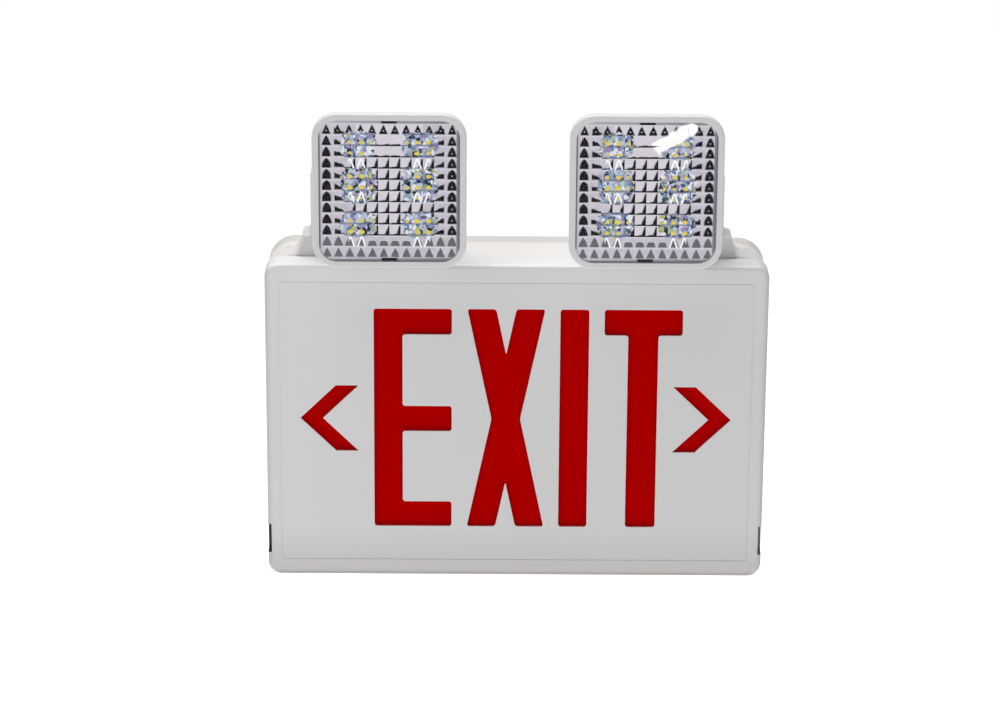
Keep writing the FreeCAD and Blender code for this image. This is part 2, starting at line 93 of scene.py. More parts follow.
def pick(obj, kind, test):
    """Select the edges, faces or verts that pass a test; leaves the object in edit mode."""
    if obj.mode != "EDIT":
        activate(obj)
        bpy.ops.object.mode_set(mode="EDIT")
    bpy.ops.mesh.select_mode(type=kind)
    bpy.ops.mesh.select_all(action="DESELECT")
    bm = bmesh.from_edit_mesh(obj.data)
    items = {"VERT": bm.verts, "EDGE": bm.edges, "FACE": bm.faces}[kind]
    for item in [i for i in items if test(i)]:
        item.select_set(True)
    bm.select_flush_mode()
    bmesh.update_edit_mesh(obj.data)


def done(obj):
    """Leave edit mode."""
    bpy.ops.object.mode_set(mode="OBJECT")
    return obj

# %% [markdown]
# Mouldings have rounded corners and edges, because sharp ones chip and don't leave the mould
# well. Bevels give both here. Openings and joined shapes are made with a Boolean modifier
# that is applied at once, so that the next step works on a plain mesh.

# %% Helpers to round, cut and join
FACING = 0.99                                        # a face looks along an axis
PARALLEL, SHORTEST = 0.999, 1e-6                     # an edge runs along an axis
EDGE_ROUND, EDGE_ANGLE, SMOOTH_ANGLE = 0.00035, math.radians(35), math.radians(40)


def runs_back(edge):
    """True for an edge that runs straight from front to back."""
    along = edge.verts[1].co - edge.verts[0].co
    return along.length > SHORTEST and abs(along.normalized().y) > PARALLEL


def round_corners(obj, radius, segments=4):
    """Round the corners that show when the piece is seen from the front."""
    pick(obj, "EDGE", runs_back)
    bpy.ops.mesh.bevel(offset=radius, segments=segments, affect="EDGES")
    return done(obj)


def round_front(obj, radius, segments):
    """Round the rim of the face that looks to the front."""
    pick(obj, "FACE", lambda f: f.normal.y < -FACING)
    bpy.ops.mesh.bevel(offset=radius, segments=segments, affect="EDGES")
    return done(obj)


def apply_modifier(obj, kind, **settings):
    activate(obj)
    m = obj.modifiers.new(kind.title(), kind)
    for key, value in settings.items():
        setattr(m, key, value)
    bpy.ops.object.modifier_apply(modifier=m.name)


def combine(obj, other, how="DIFFERENCE"):
    apply_modifier(obj, "BOOLEAN", object=other, operation=how, solver="EXACT")
    deselect()
    bpy.data.objects.remove(other, do_unlink=True)
    return obj


def soften(obj):
    """Small rounded edges, as a moulding has, and smooth shading between them."""
    apply_modifier(obj, "BEVEL", width=EDGE_ROUND, segments=2, limit_method="ANGLE",
                   angle_limit=EDGE_ANGLE, harden_normals=False, use_clamp_overlap=True)
    activate(obj)
    bpy.ops.object.shade_smooth_by_angle(angle=SMOOTH_ANGLE)
    apply_modifier(obj, "WEIGHTED_NORMAL", keep_sharp=True, weight=90)

# %% [markdown]
# The camera looks at the front of the sign from a little above, through a long lens, so the
# sides run nearly parallel and a narrow band of the top shows.

# %% Camera
ELEVATION, AZIMUTH, ROLL = math.radians(20.33), math.radians(-0.17), math.radians(0.39)
DISTANCE, LENS, SENSOR, FAR_CLIP = 2.528, 139.75, 36.0, 50
AIM = Vector((-0.0106, -0.060, 0.0439))

toward = Vector((math.sin(AZIMUTH) * math.cos(ELEVATION),
                 -math.cos(AZIMUTH) * math.cos(ELEVATION),
                 math.sin(ELEVATION)))
level = Vector((0, 0, 1)).cross(toward).normalized()
upward = toward.cross(level)
right = math.cos(ROLL) * level + math.sin(ROLL) * upward
upward = toward.cross(right)
camera_data = bpy.data.cameras.new("view")
camera_data.lens, camera_data.sensor_width, camera_data.clip_end = LENS, SENSOR, FAR_CLIP
camera = bpy.data.objects.new("view", camera_data)
bpy.context.scene.collection.objects.link(camera)
turn = Matrix((right, upward, toward)).transposed()
camera.matrix_world = Matrix.Translation(AIM + toward * DISTANCE) @ turn.to_4x4()
bpy.context.scene.camera = camera
print("camera:", LENS, "mm at", DISTANCE, "m")

# %% [markdown]
# Light comes from a wide panel overhead, so the tops are brightest, with softer fill from
# the front. One small light leaves a reflection on the right lens. The floor lies well below
# the sign, which hangs on a wall in use.

# %% Floor and lights
FLOOR_SIZE, FLOOR_Z, WORLD_STRENGTH = 40, -0.52, 0.08

deselect()
bpy.ops.mesh.primitive_plane_add(size=FLOOR_SIZE, location=(0, 0, FLOOR_Z))
floor = bpy.context.object
floor.name = "floor"


def panel(name, place, aim, size, watts):
    data = bpy.data.lights.new(name, "AREA")
    data.shape, data.size, data.size_y, data.energy = "RECTANGLE", size[0], size[1], watts
    lamp = bpy.data.objects.new(name, data)
    bpy.context.scene.collection.objects.link(lamp)
    lamp.location = place
    lamp.rotation_euler = (Vector(aim) - Vector(place)).to_track_quat("-Z", "Y").to_euler()
    return lamp


def glint(at, tilt, away, size, watts):
    """Small light whose mirror image lies on the upright front of a lens, at one point."""
    view = (Vector(at) - camera.location).normalized()
    out = Vector((view.x, -view.y, view.z))
    lamp = panel("glint", Vector(at) + out * away, at, size, watts)
    along = Vector((math.cos(tilt), 0, math.sin(tilt)))
    across = out.cross(along).normalized()
    lamp.rotation_euler = Matrix((across.cross(out), across, out)).transposed().to_euler()


panel("overhead", (-0.2, 0.35, 2.0), aim=(0, 0.05, 0), size=(2.4, 1.8), watts=60)
panel("front_left", (-1.7, -2.3, 1.0), aim=(0, 0, 0), size=(1.4, 1.6), watts=9.8)
panel("front_right", (1.9, -2.2, 0.7), aim=(0, 0, 0), size=(1.2, 1.6), watts=6.2)
glint((0.0995, -0.0796, 0.2016), tilt=math.radians(31), away=1.0, size=(0.041, 0.011), watts=0.17)
world = bpy.data.worlds.new("studio")
bpy.context.scene.world = world
world.use_nodes = True
background = world.node_tree.nodes["Background"].inputs
background["Color"].default_value = (1.0, 1.0, 1.0, 1.0)
background["Strength"].default_value = WORLD_STRENGTH
bpy.context.scene.view_settings.view_transform = "Standard"
print("lights:", len(bpy.data.lights))

# %% [markdown]
# Shader maths reads better as plain expressions. `Sock` wraps one output socket, and the
# usual operators add Math nodes for it. `Paint` holds a material and adds every other node.

# %% Shader helper
OBJECT_COORDS = 3                                    # output of a Texture Coordinate node
MIX_FACTOR, MIX_A, MIX_B, MIX_RESULT = 0, 6, 7, 2    # sockets of a Mix node for colours


class Sock:
    def __init__(self, paint, socket):
        self.paint, self.socket = paint, socket

    def math(self, op, other=None, swap=False, clamp=False):
        values = [self] if other is None else [self, other]
        if swap:
            values.reverse()
        return self.paint.node("ShaderNodeMath", {"operation": op, "use_clamp": clamp},
                               {i: v for i, v in enumerate(values)})

    def __add__(self, o): return self.math("ADD", o)
    def __radd__(self, o): return self.math("ADD", o)
    def __sub__(self, o): return self.math("SUBTRACT", o)
    def __rsub__(self, o): return self.math("SUBTRACT", o, swap=True)
    def __mul__(self, o): return self.math("MULTIPLY", o)
    def __rmul__(self, o): return self.math("MULTIPLY", o)
    def __truediv__(self, o): return self.math("DIVIDE", o)
    def __gt__(self, o): return self.math("GREATER_THAN", o)
    def __lt__(self, o): return self.math("LESS_THAN", o)
    def abs(self): return self.math("ABSOLUTE")
    def clamp(self): return self.math("ADD", 0.0, clamp=True)


def least(socks):
    """The smallest of several values."""
    found, *others = socks
    for other in others:
        found = found.math("MINIMUM", other)
    return found


def rgba(value):
    """Add the alpha to a colour; numbers and sockets pass as they are."""
    return (*value, 1.0) if isinstance(value, tuple) else value


class Paint:
    """One Principled material; keyword settings go straight to the shader's sockets."""
    def __init__(self, name, **plain):
        self.mat = bpy.data.materials.new(name)
        self.mat.use_nodes = True
        self.tree = self.mat.node_tree
        self.shader = self.tree.nodes["Principled BSDF"]
        self.coords = None
        for key, value in plain.items():
            self.shader.inputs[key.replace("_", " ")].default_value = rgba(value)

    def node(self, kind, settings=None, values=None, output=0):
        n = self.tree.nodes.new(kind)
        for key, value in (settings or {}).items():
            setattr(n, key, value)
        for key, value in (values or {}).items():
            if isinstance(value, Sock):
                self.tree.links.new(value.socket, n.inputs[key])
            else:
                n.inputs[key].default_value = value
        return Sock(self, n.outputs[output])

    def place(self):
        if self.coords is None:
            self.coords = self.node("ShaderNodeTexCoord", output=OBJECT_COORDS)
        return self.coords

    def axis(self, i):
        return self.node("ShaderNodeSeparateXYZ", values={0: self.place()}, output=i)

    def noise(self, scale, detail=2.0):
        return self.node("ShaderNodeTexNoise", {"noise_dimensions": "3D"},
                         {"Vector": self.place(), "Scale": scale, "Detail": detail,
                          "Roughness": 0.5})

    def blend(self, factor, a, b):
        return self.node("ShaderNodeMix", {"data_type": "RGBA"},
                         {MIX_FACTOR: factor, MIX_A: rgba(a), MIX_B: rgba(b)}, MIX_RESULT)

    def ramp(self, factor, how, *stops):
        out = self.node("ShaderNodeValToRGB", values={0: factor})
        ramp = out.socket.node.color_ramp
        ramp.interpolation = how
        ends = ((ramp.elements[0], stops[0]), (ramp.elements[1], stops[-1]))
        for element, (at, colour) in ends:
            element.position, element.color = at, rgba(colour)
        for at, colour in stops[1:-1]:
            ramp.elements.new(at).color = rgba(colour)
        return out

    def into(self, name, sock):
        self.tree.links.new(sock.socket, self.shader.inputs[name])

    def rough(self, low, spread, scale, detail=2.0):
        self.into("Roughness", self.noise(scale, detail) * spread + low)

    def bump(self, height, strength, distance):
        self.into("Normal", self.node("ShaderNodeBump", values={
            "Height": height, "Strength": strength, "Distance": distance}))


def dress(obj, paint):
    obj.data.materials.clear()
    obj.data.materials.append(paint.mat)

# %% [markdown]
# White thermoplastic. The real mouldings have a fine, even satin grain, so the bump is very
# small, and the colour drifts only a little from warm to cool. Both could come from an
# image, but noise on Object coordinates has no seams and stays with the piece as it moves.

# %% White plastic
def satin(p):
    """Fine, even grain."""
    p.rough(0.37, 0.10, 60.0, 3.0)
    p.bump(p.noise(2600.0, 1.0), 0.05, 0.0001)
    return p


def white_plastic(name, tint):
    p = Paint(name, IOR=1.5, Specular_IOR_Level=0.45)
    cool = tuple(c * f for c, f in zip(tint, (0.985, 0.99, 1.0)))
    p.into("Base Color", p.blend(p.noise(9.0, 1.0), tint, cool))
    return satin(p)


white = white_plastic("white_head", (0.725, 0.718, 0.72))
warm_white = white_plastic("white_housing", (0.72, 0.70, 0.685))
# the back plate's darker tone is painted shade
shaded_plate_white = white_plastic("white_plate_painted_shade", (0.60, 0.58, 0.555))
dress(floor, Paint("pale_floor", Base_Color=(0.45, 0.45, 0.45), Roughness=0.9,
                   Specular_IOR_Level=0.0, Emission_Color=(1.0, 1.0, 1.0),
                   Emission_Strength=0.88))
print("white paints:", [p.mat.name for p in (white, warm_white, shaded_plate_white)])

# %% [markdown]
# The letters of an exit sign have a code height of about 152 mm and strokes of about 19 mm.
# They are openings in the moulded face with a red panel behind, so each letter is first made
# as a solid cutter. A font could give the letters, but not with these strokes, so they are
# built from cubes: an E is one block less two gaps, an X is two leaning strokes. Where the
# edges of a letter run from front to back they are bevelled, which rounds the corners of the
# opening. The arrows keep sharp corners.

# %% Letter cutters
cover_low, cover_high = span("front_cover")
Y_FACE, SIDE, TOP = cover_low.y, cover_high.x, cover_high.z
Y_SEAM = span("rear_housing")[0].y
CUT_FRONT, CUT_BACK, OVERCUT = Y_FACE - 0.004, Y_FACE + 0.0045, 0.002
WORD_Z, LETTER_H, LETTER_W = 0.0027, 0.1524, 0.0508
WORD_LOW, WORD_HIGH = WORD_Z - LETTER_H / 2, WORD_Z + LETTER_H / 2
STROKE, LEVEL_STROKE, STEM = 0.0187, 0.0176, 0.0196
LETTER_ROUND, X_ROUND = 0.0018, 0.0017


def stroke(x0, x1, z0, z1, lean=0.0):
    bar = cube("stroke", (x0, CUT_FRONT, z0), (x1, CUT_BACK, z1))
    if lean:
        pick(bar, "VERT", lambda v: v.co.z > (z0 + z1) / 2)
        bpy.ops.transform.translate(value=(lean, 0, 0))
        done(bar)
    return bar


def letter_e(x):
    gap, past = (LETTER_H - 3 * LEVEL_STROKE) / 2, 0.06
    e = stroke(x, x + LETTER_W, WORD_LOW, WORD_HIGH)
    for i in (0, 1):
        base = WORD_LOW + LEVEL_STROKE + i * (gap + LEVEL_STROKE)
        combine(e, cube("gap", (x + STROKE, CUT_FRONT - OVERCUT, base),
                        (x + past, CUT_BACK + OVERCUT, base + gap)))
    return round_corners(e, LETTER_ROUND)


def letter_x(x):
    lean = 0.0506 - STROKE                           # the X is 0.2 mm narrower than the E
    rising = stroke(x, x + STROKE, WORD_LOW, WORD_HIGH, lean)
    falling = stroke(x + lean, x + lean + STROKE, WORD_LOW, WORD_HIGH, -lean)
    return round_corners(combine(rising, falling, "UNION"), X_ROUND, 3)


def letter_i(x):
    return round_corners(stroke(x, x + STROKE, WORD_LOW, WORD_HIGH), LETTER_ROUND)


def letter_t(x):
    stem_x, overlap = x + 0.0155, 0.008
    t = stroke(x, x + LETTER_W, WORD_HIGH - LEVEL_STROKE, WORD_HIGH)
    stem = stroke(stem_x, stem_x + STEM, WORD_LOW, WORD_HIGH - overlap)
    return round_corners(combine(t, stem, "UNION"), LETTER_ROUND)


def arrow(tip, way):
    """One chevron: two leaning strokes that meet at the tip."""
    half, wide, reach = 0.0229, 0.0148, 0.0233
    x0, x1 = sorted((tip, tip - way * wide))
    upper = stroke(x0, x1, WORD_Z, WORD_Z + half, -way * reach)
    lower = stroke(x0 - way * reach, x1 - way * reach, WORD_Z - half, WORD_Z, way * reach)
    return combine(upper, lower, "UNION")


cutters = [letter_e(-0.0928), letter_x(-0.0319), letter_i(0.0285), letter_t(0.0572),
           arrow(-0.1410, -1), arrow(0.1408, 1)]
print("letter and arrow cutters:", len(cutters))

# %% [markdown]
# The front cover is one moulding: a shallow tray with rounded corners, a fine line pressed
# into its face, a release notch low on each side, and the letters. It starts as a cube, the
# corners and the front edge are bevelled, and the back is inset and pushed in to leave walls.
# Letters painted on a flat face would be simpler, but cut ones show the depth of the wall.

# %% Front cover
COVER_CORNER, FRONT_EDGE, WALL, FACE_WALL, SEAM_GAP = 0.009, 0.0026, 0.0025, 0.003, 0.00005
NOTCH_LOW, NOTCH_HIGH, NOTCH_BACK = 0.016, 0.036, 0.009    # from the bottom and from the face
NOTCH_IN, NOTCH_HALF, NOTCH_RIM = 0.0009, 0.0015, 0.0005


def front_cover():
    c = cube("sign_face", (-SIDE, Y_FACE, -TOP), (SIDE, Y_SEAM - SEAM_GAP, TOP))
    round_corners(c, COVER_CORNER, 8)
    round_front(c, FRONT_EDGE, 5)
    pick(c, "FACE", lambda f: f.normal.y > FACING)
    bpy.ops.mesh.inset(thickness=WALL)
    bpy.ops.mesh.extrude_region_move(TRANSFORM_OT_translate={
        "value": (0, -(Y_SEAM - Y_FACE - FACE_WALL), 0)})
    return done(c)


def face_line():
    """Cutter for the shallow line round the face."""
    inset, level_inset, width, deep = 0.0092, 0.0114, 0.0009, 0.00028
    c = cube("line", (-SIDE + inset, Y_FACE - OVERCUT, -TOP + level_inset),
             (SIDE - inset, Y_FACE + deep, TOP - level_inset))
    round_corners(c, 0.002)
    pick(c, "FACE", lambda f: abs(f.normal.y) > FACING)
    bpy.ops.mesh.inset(thickness=width, use_individual=True)
    bpy.ops.mesh.bridge_edge_loops()
    return done(c)


def notch(way):
    """Cutter for the release notch on one side."""
    x = way * (SIDE - NOTCH_IN)
    return cube("notch", (x - NOTCH_HALF, Y_FACE - OVERCUT, -TOP + NOTCH_LOW),
                (x + NOTCH_HALF, Y_FACE + NOTCH_BACK, -TOP + NOTCH_HIGH))


cover = front_cover()
for cutter in [face_line(), notch(-1), notch(1)] + cutters:
    combine(cover, cutter)
soften(cover)
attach(cover, "housing")
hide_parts("front_cover")
print("front cover faces:", len(cover.data.polygons))

# %% [markdown]
# The cover is white all over. Its darker rim and underside are painted shade, its brighter left
# side is painted light, the red on the walls of the letters is painted light from the panel, and
# the dark notches are painted shade. All of this depends only on the place, so it is worked out
# from the distances to the side, to the bottom and from the face.

# %% Paint for the cover
def cover_paint():
    p = Paint("white_cover_painted_light_and_shade", Specular_IOR_Level=0.45)
    x, y, z = (p.axis(i) for i in range(3))
    side, bottom, deep = SIDE - x.abs(), z + TOP, y - Y_FACE
    # white, brighter toward the left as painted light and darker over the lowest 34 mm as painted
    # shade
    colour = p.blend(p.noise(9.0, 1.0), (0.725, 0.718, 0.722), (0.715, 0.712, 0.718))
    colour = p.blend((x / SIDE * -0.6).clamp(), colour, (0.80, 0.79, 0.80))
    low = ((0.034 - bottom) / 0.034).clamp()
    colour = p.blend(low * 0.85, colour, (0.60, 0.575, 0.56))
    # painted shade on the outer 5 mm, then darker painted shade on the front of the underside
    rim_shade = ((0.0050 - side.math("MINIMUM", bottom)) / 0.0050).clamp()
    colour = p.blend(rim_shade * rim_shade * 0.75, colour, (0.46, 0.43, 0.41))
    under_shade = ((0.0034 - bottom) / 0.0028).clamp() * ((0.0044 - deep) / 0.0020).clamp()
    colour = p.blend(under_shade * 0.85, colour, (0.27, 0.25, 0.235))
    # painted red light from the panel on the letters' walls, then painted shade in the notches,
    # darker on the left
    red_glow_walls = (deep > 0.0007) * (x.abs() < 0.146) * ((z - WORD_Z).abs() < 0.085)
    colour = p.blend(red_glow_walls, colour, (0.50, 0.02, 0.03))
    notch_shade_mask = (side < NOTCH_IN + NOTCH_HALF + 0.0002) * (deep > 0.0004) * (deep < NOTCH_BACK + 0.0006)
    notch_shade_mask = notch_shade_mask * (bottom > NOTCH_LOW - NOTCH_RIM) * (bottom < NOTCH_HIGH + NOTCH_RIM)
    notch_shade = p.blend(x > 0.0, (0.02, 0.018, 0.018), (0.17, 0.165, 0.16))
    p.into("Base Color", p.blend(notch_shade_mask, colour, notch_shade))
    return satin(p)


dress(cover, cover_paint())
print("shader nodes on the cover:", len(cover.data.materials[0].node_tree.nodes))

# %% [markdown]
# The panel behind the letters is translucent red and lit from behind by a row of LEDs. It
# is a deep, even red, so a little emission on its front stands in for the light. Its edges
# and back stay dark, as little of the light leaves there.

# %% Red panel
PANEL_FRONT = span("red_diffuser")[0].y + 0.0004

red = Paint("red_panel", Roughness=0.5, Specular_IOR_Level=0.0, Emission_Strength=0.11)
front = red.axis(1) < PANEL_FRONT
even_red = red.blend(red.noise(7.0, 1.0), (0.33, 0.0, 0.0), (0.37, 0.0, 0.001))
red.into("Base Color", red.blend(front, (0.07, 0.0, 0.0), even_red))
red.into("Emission Color", red.blend(front, (0.0, 0.0, 0.0), (1.0, 0.0, 0.0)))
dress(NODES["red_diffuser"], red)
print("red panel glows in front of y =", round(PANEL_FRONT, 4))

# %% [markdown]
# Inside each head six LED packages sit on a white board, three rows of two. Their lenses
# are clear domes over a yellow die, so they are warm in the middle and cold at the rim. The
# CAD shapes stay, and the distance from the nearest package's middle gives the colour.

# %% Boards and LEDs
PACKAGE_R = 0.0045


def led_centres(side):
    lo, hi = span(side + "_head_leds")
    return [(x, z) for x in (lo.x + PACKAGE_R, hi.x - PACKAGE_R)
            for z in (lo.z + PACKAGE_R, (lo.z + hi.z) / 2, hi.z - PACKAGE_R)]


def led_paint(side):
    """Yellow middle and cold rim, by the distance from the nearest package's middle."""
    p = Paint(side + "_led", Base_Color=(0.9, 0.9, 0.9), Roughness=0.2, Emission_Strength=1.0)
    distances = []
    for x, z in led_centres(side):
        dx, dz = p.axis(0) - x, p.axis(2) - z
        distances.append((dx * dx + dz * dz).math("SQRT"))
    p.into("Emission Color", p.ramp(
        least(distances) / PACKAGE_R, "LINEAR", (0.0, (1.0, 0.78, 0.10)),
        (0.42, (0.95, 0.70, 0.06)), (0.52, (0.80, 0.92, 0.95)), (0.8, (0.45, 0.72, 0.95)),
        (1.0, (0.35, 0.55, 0.95))))
    return p


board_paint = Paint("white_board", Roughness=0.5)
board_paint.into("Base Color", board_paint.blend(board_paint.noise(40.0), (0.80, 0.79, 0.82),
                                                 (0.72, 0.71, 0.76)))
for side in SIDES:
    dress(NODES[side + "_head_led_board"], board_paint)
    dress(NODES[side + "_head_leds"], led_paint(side))
    print(side, "LED packages:", len(led_centres(side)))

# %% [markdown]
# The lens is one clear moulding, smooth outside and cut into a twelve by twelve grid of
# prisms inside. Each prism throws one picture of what lies behind it: the wall, painted dark as
# shade, for the prisms at the edge, the white board in the middle, and many small pieces of the
# LEDs where those lie. `Grid` works out where a point lies: its prism's column and row, counted
# from the middle, and the place inside the prism (`u` across, `v` up, both 0 to 1).

# %% Grid of the prisms
PITS, BAND = 12, 0.0021


class Grid:
    def __init__(self, p, side):
        lo, hi = span(side + "_lens")
        self.wide, self.high = hi.x - lo.x, hi.z - lo.z
        pitch_x, pitch_z = (self.wide - 2 * BAND) / PITS, (self.high - 2 * BAND) / PITS
        mid_x, mid_z = (lo.x + hi.x) / 2, (lo.z + hi.z) / 2
        self.x, self.z = p.axis(0) - mid_x, p.axis(2) - mid_z
        self.a, self.b = self.x / pitch_x, self.z / pitch_z              # counted in prisms
        self.u, self.v = self.a.math("FRACT"), self.b.math("FRACT")
        self.col = self.a.math("FLOOR") + 0.5                            # -5.5 to 5.5
        self.row = self.b.math("FLOOR") + 0.5
        self.far_x, self.far_z = self.col.abs(), self.row.abs()
        self.low_rows = self.row < -4.0
        self.grain, self.wave = p.noise(900.0), p.noise(260.0) - 0.5
        # dark line along the bottom of a prism
        self.line = ((0.21 + self.wave * 0.22 + (self.u - 0.7) * 0.10 - self.v) * 14.0).clamp()
        self.leds = [((x - mid_x) / pitch_x, (z - mid_z) / pitch_z) for x, z in led_centres(side)]


print("prisms behind each lens:", PITS * PITS)

# %% [markdown]
# The board and the wall come first. Refraction in real prisms would make these pictures by
# itself, but it takes far more samples to settle, so they are painted. Each function lays
# one picture over the colour so far, and a little noise keeps the prisms from being equal.

# %% Pictures of the board and the wall
def board_picture(p, g):
    pale = p.blend(p.noise(240.0, 3.0), (0.42, 0.40, 0.45), (0.66, 0.63, 0.69))
    bright = p.blend(g.grain, (0.54, 0.51, 0.56), (0.76, 0.72, 0.78))
    pale = p.blend((g.far_x < 3.0) * (1.0 - g.low_rows), pale, bright)
    # a painted highlight along the top of each prism
    return p.blend((g.v - 0.86) * 9.0, pale, (0.66, 0.64, 0.68))


def wall_picture(p, g, colour):
    # the head's wall shows dark in these pictures as painted shade
    edge_col, edge_row = g.far_x > 5.0, g.row > 5.0
    # edge prisms: pointed at the corners, blunt half way along the side
    middle = 0.5 + (g.col / 5.5) * 0.10
    blunt = 4.2 - g.far_z * 0.55
    half = 0.45 * (1.0 - (g.v / 0.98).math("POWER", blunt)) + g.wave * 0.14
    bullet = ((half - (g.u - middle).abs()) * 12.0).clamp() * ((g.v - 0.03) * 18.0).clamp()
    # a painted highlight: a small light spot in the edge prisms
    spot_u, spot_v = (g.u - middle) / 0.07, (g.v - 0.34) / 0.06
    highlight_spot = ((1.0 - spot_u * spot_u - spot_v * spot_v) * 3.0).clamp()
    highlight_spot = highlight_spot * (edge_row + edge_col * (g.a > 0.0)).clamp()
    # the second prism from the side: a leaning wedge
    out = (g.a > 0.0) * (1.0 - g.u) + (g.a < 0.0) * g.u
    small = ((0.68 - 0.40 * out + g.wave * 0.4 - g.v) * 10.0).clamp()
    small = small * ((g.v - 0.08) * 16.0).clamp() * (out > 0.10)
    small = small * (g.far_x > 4.0) * (1.0 - edge_col)
    # inner prisms: the dark line and a dark wedge on the right
    wedge = ((g.u - 0.52 - g.v * 0.36 - g.wave * 0.2) * 10.0).clamp()
    wedge = wedge * (g.far_z < 4.0) * (g.row < 3.0) * (g.v < 0.92)
    inner = g.line.math("MAXIMUM", wedge) * (g.far_x < 4.0) * (g.row < 5.0)
    dark = (bullet * edge_col.math("MAXIMUM", edge_row)).math("MAXIMUM", small)
    dark = dark.math("MAXIMUM", inner) * (1.0 - g.low_rows) * (1.0 - highlight_spot * 0.8)
    colour = p.blend(dark, colour, p.blend(g.grain, (0.0, 0.0, 0.001), (0.014, 0.013, 0.018)))
    # the lowest rows: the shape of the edge prisms, in grey, as painted light on the lower wall
    flat = (g.far_x < 2.0) * (g.row > -5.0) * (g.v > 0.48)
    grey = p.blend(g.grain, (0.09, 0.09, 0.10), (0.17, 0.17, 0.185))
    return p.blend(bullet * g.low_rows * (1.0 - flat), colour, grey)


# %% [markdown]
# Each LED shows as many small pieces, because every prism bends the light another way: cold
# white, blue and violet ones, some dark, with the yellow die again in each prism. Cells of a
# Voronoi texture give the pieces, and a ramp in steps gives each cell one of the colours.

# %% Pictures of the LEDs
LED_PIECES = ((0.0, (0.26, 0.33, 0.44)), (0.14, (0.46, 0.54, 0.64)), (0.30, (0.05, 0.08, 0.13)),
              (0.38, (0.46, 0.42, 0.60)), (0.50, (0.74, 0.76, 0.82)), (0.66, (0.13, 0.21, 0.35)),
              (0.75, (0.42, 0.46, 0.14)), (0.82, (0.28, 0.23, 0.44)), (0.91, (0.01, 0.02, 0.03)))


def led_picture(p, g, colour):
    """The LEDs are seen a little above their true place, as they lie deeper."""
    lift, reach_a, reach_b = 0.55, 1.66, (1.20, 1.70, 1.20)    # in prisms; each row's own height
    distances = []
    for n, (at_a, at_b) in enumerate(g.leds):
        da, db = (g.a - at_a) / reach_a, (g.b - at_b - lift) / reach_b[n % 3]
        distances.append((da * da).math("MAXIMUM", db * db) * 0.45 + (da * da + db * db) * 0.55)
    near = least(distances)
    jump = p.node("ShaderNodeCombineXYZ", values={0: g.col * 0.0131, 2: g.row * 0.0173})
    shifted = p.node("ShaderNodeVectorMath", {"operation": "ADD"}, {0: p.place(), 1: jump})
    patches = p.node("ShaderNodeTexVoronoi", {"feature": "F1"},
                     {"Vector": shifted, "Scale": 400.0}, output=1)
    chance = p.node("ShaderNodeSeparateColor", values={0: patches}, output=0)
    pieces = p.ramp(chance + g.wave * 0.25, "CONSTANT", *LED_PIECES)
    inside = ((1.0 + g.wave - near) * 9.0).clamp()
    colour = p.blend(inside, colour, pieces)
    colour = p.blend(inside * g.line * 0.6, colour, (0.07, 0.09, 0.16))
    du, dv = (g.u - 0.5) / 0.25, (g.v - 0.30) / 0.18
    die = ((1.0 + g.wave * 3.2 - du * du - dv * dv) * 4.0).clamp() * (near < 0.60)
    colour = p.blend(die, colour, p.blend(g.grain, (0.62, 0.38, 0.03), (0.82, 0.78, 0.16)))
    # painted highlights: bright folds of LED light just under each LED
    fold = (((g.u - 0.5).abs() - (0.95 - g.v) * 0.36).abs() < 0.075) * (g.v < 0.9)
    fold = fold * ((g.a.abs() - 2.9).abs() < 0.75)
    fold = fold * sum(((g.row - r).abs() < 0.1) for r in (2.5, -0.5, -4.5))
    return p.blend(fold, colour, (0.95, 0.95, 0.98))


print("colours of LED pieces:", len(LED_PIECES))

# %% [markdown]
# A flat band runs round the prisms. It is grey, with painted shade making it darker toward the
# right, and has a dark mark in the middle of its top and bottom, where a latch holds the lens.
# It covers the pictures, so it comes last. Then the paint is put together and given to the
# shader as emission, because little light would reach it through the clear skin in front.

# %% Band and finished paint
def flat_band(p, g, colour):
    from_side, from_end = g.wide / 2 - g.x.abs(), g.high / 2 - g.z.abs()
    # painted shade: the band's grey darkens from left to right
    shaded_ring = p.blend(g.x / g.wide + 0.5, (0.50, 0.47, 0.53), (0.20, 0.19, 0.22))
    shaded_ring = p.blend(from_side.math("MINIMUM", from_end) < 0.0009, shaded_ring, (0.14, 0.14, 0.16))
    colour = p.blend(g.a.abs().math("MAXIMUM", g.b.abs()) > PITS / 2, colour, shaded_ring)
    return p.blend((g.x.abs() < 0.0050) * (from_end < BAND), colour, (0.01, 0.01, 0.012))


def prism_paint(side):
    p = Paint(side + "_prisms", Base_Color=(0.0, 0.0, 0.0), Roughness=0.3,
              Specular_IOR_Level=0.0, Emission_Strength=1.0)
    g = Grid(p, side)
    colour = board_picture(p, g)
    for picture in (wall_picture, led_picture, flat_band):
        colour = picture(p, g, colour)
    p.into("Emission Color", colour)
    return p

# %% [markdown]
# The real lens is one moulding, but it is made in two parts here, so that the gloss in front
# stays apart from the painted pictures behind. In front lies the clear skin with its rounded
# corners. Behind it a grid primitive gives the cells, poke sinks each into a four-sided pit,
# and the grid's border is drawn out into the flat band round them.

# %% Lens
SKIN, AIR, PIT_DEEP, BAND_DEEP = 0.0014, 0.0004, 0.0010, 0.0012
SKIN_CORNER, SKIN_EDGE, PRISM_CORNER, PRISM_INSET = 0.0117, 0.0006, 0.0115, 0.0002


def lens_skin(side):
    lo, hi = span(side + "_lens")
    skin = cube(side + "_prismatic_lens", (lo.x, lo.y, lo.z), (hi.x, lo.y + SKIN, hi.z))
    return round_front(round_corners(skin, SKIN_CORNER, 8), SKIN_EDGE, 3)


